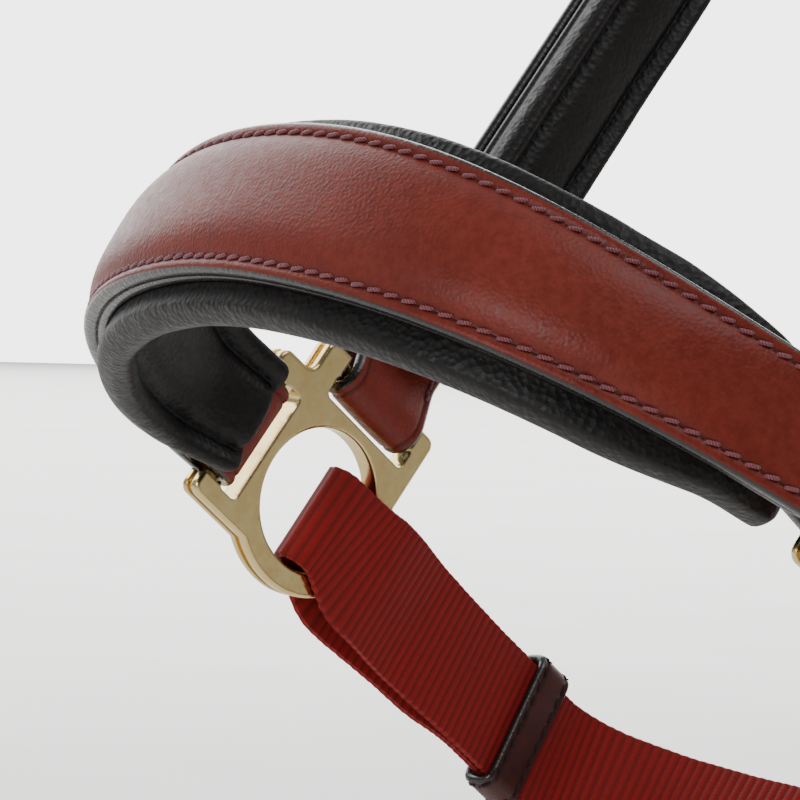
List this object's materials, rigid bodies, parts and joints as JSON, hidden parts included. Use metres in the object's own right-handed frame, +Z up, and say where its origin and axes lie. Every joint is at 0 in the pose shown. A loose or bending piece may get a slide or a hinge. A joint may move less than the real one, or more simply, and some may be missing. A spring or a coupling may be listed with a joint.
{
  "type": "horse headcollar",
  "caption": "Leather headcollar for a full-size horse: padded noseband and crown, red webbing chin strap, cast side fittings, throatlash with snap, lead ring.",
  "frame": {"origin": "poll seat: the underside of the crown's lining, midway between its ends, where the horse's poll carries it", "axes": "+Z up, -Y towards the horse's nose, +X to the horse's left; the face line leans 32 degrees from the vertical, as on a standing horse"},
  "size_m": [0.198, 0.3375, 0.4602],
  "materials": {
    "burgundy_leather": "satin, stitched, black painted edges",
    "keeper_leather": "satin",
    "black_padded_leather": "soft pebbled grain",
    "inner_leather": "raw",
    "red_webbing": "ribbed weave",
    "cast_brass": "polished, pale"
  },
  "bodies": {
    "headcollar": {"cheek_fitting_right": "cast_brass", "cheek_fitting_left": "cast_brass", "throat_fitting_right": "cast_brass", "throat_fitting_left": "cast_brass", "noseband_outer_leather": "burgundy_leather", "noseband_raised_core": "inner_leather", "noseband_backing": "black_padded_leather", "noseband_padded_lining": "black_padded_leather", "noseband_end_fold_right": "burgundy_leather", "noseband_end_fold_left": "burgundy_leather", "cheekpiece_outer_leather_right": "burgundy_leather", "cheekpiece_outer_leather_left": "burgundy_leather", "cheekpiece_padded_lining_right": "black_padded_leather", "cheekpiece_padded_lining_left": "black_padded_leather", "cheekpiece_filler_right": "inner_leather", "cheekpiece_filler_left": "inner_leather", "crown_buckle_frame_right": "cast_brass", "crown_buckle_frame_left": "cast_brass", "crown_buckle_chape_right": "burgundy_leather", "crown_buckle_chape_left": "burgundy_leather", "crown_billet_right": "burgundy_leather", "crown_billet_left": "burgundy_leather", "crown_fixed_keeper_right": "keeper_leather", "crown_fixed_keeper_left": "keeper_leather", "crown_outer_leather": "burgundy_leather", "crown_core_leather": "inner_leather", "crown_padded_lining": "black_padded_leather", "chin_webbing_outer_ply": "red_webbing", "chin_webbing_inner_ply": "red_webbing", "chin_webbing_fold_right": "red_webbing", "chin_webbing_fold_left": "red_webbing", "chin_sleeve": "burgundy_leather", "lead_fitting_loop": "burgundy_leather", "throatlash_strap": "burgundy_leather", "throatlash_loop_right": "burgundy_leather", "throat_snap_eye": "cast_brass", "throatlash_loop_left": "burgundy_leather", "jowl_strap": "burgundy_leather", "jowl_strap_sleeve": "burgundy_leather"},
    "crown_tongue_left": {"crown_buckle_tongue_left": "cast_brass"},
    "crown_tongue_right": {"crown_buckle_tongue_right": "cast_brass"},
    "lead_ring": {"lead_fitting": "cast_brass"},
    "throat_snap": {"throat_snap_body": "cast_brass"},
    "snap_bolt": {"throat_snap_bolt": "cast_brass"},
    "crown_runner_left": {"crown_running_keeper_left": "keeper_leather"},
    "crown_runner_right": {"crown_running_keeper_right": "keeper_leather"},
    "web_keeper_left": {"chin_webbing_keeper_left": "keeper_leather"},
    "web_keeper_right": {"chin_webbing_keeper_right": "keeper_leather"}
  },
  "joints": [
    {"name": "crown_tongue_right", "type": "hinge", "parent": "headcollar", "child": "crown_tongue_right", "pos_m": [-0.08617, -0.07823, -0.10506], "axis": [0.1059, -0.797, 0.5946], "range_deg": [0, 30]},
    {"name": "crown_tongue_left", "type": "hinge", "parent": "headcollar", "child": "crown_tongue_left", "pos_m": [0.08617, -0.07823, -0.10506], "axis": [0.1059, 0.797, -0.5946], "range_deg": [0, 30]},
    {"name": "lead_swing", "type": "hinge", "parent": "headcollar", "child": "lead_ring", "pos_m": [0, -0.14358, -0.39604], "axis": [1, 0, 0], "range_deg": [-38, 80]},
    {"name": "snap_swivel", "type": "hinge", "parent": "headcollar", "child": "throat_snap", "pos_m": [0.08558, -0.11825, -0.1588], "axis": [0.0852, 0.3594, -0.9293], "range_deg": [-12, 12]},
    {"name": "snap_bolt", "type": "slide", "parent": "throat_snap", "child": "snap_bolt", "axis": [0.0852, 0.3594, -0.9293], "range_m": [0, 0.0058], "stiffness_N_per_m": 300},
    {"name": "crown_runner_right", "type": "slide", "parent": "headcollar", "child": "crown_runner_right", "axis": [-0.0087, 0.5972, 0.802], "range_m": [-0.01, 0.0035]},
    {"name": "crown_runner_left", "type": "slide", "parent": "headcollar", "child": "crown_runner_left", "axis": [0.0087, 0.5972, 0.802], "range_m": [-0.01, 0.0035]},
    {"name": "web_keeper_right", "type": "slide", "parent": "headcollar", "child": "web_keeper_right", "axis": [0.1059, -0.797, 0.5946], "range_m": [-0.004, 0.008]},
    {"name": "web_keeper_left", "type": "slide", "parent": "headcollar", "child": "web_keeper_left", "axis": [-0.1059, -0.797, 0.5946], "range_m": [-0.004, 0.008]}
  ]
}
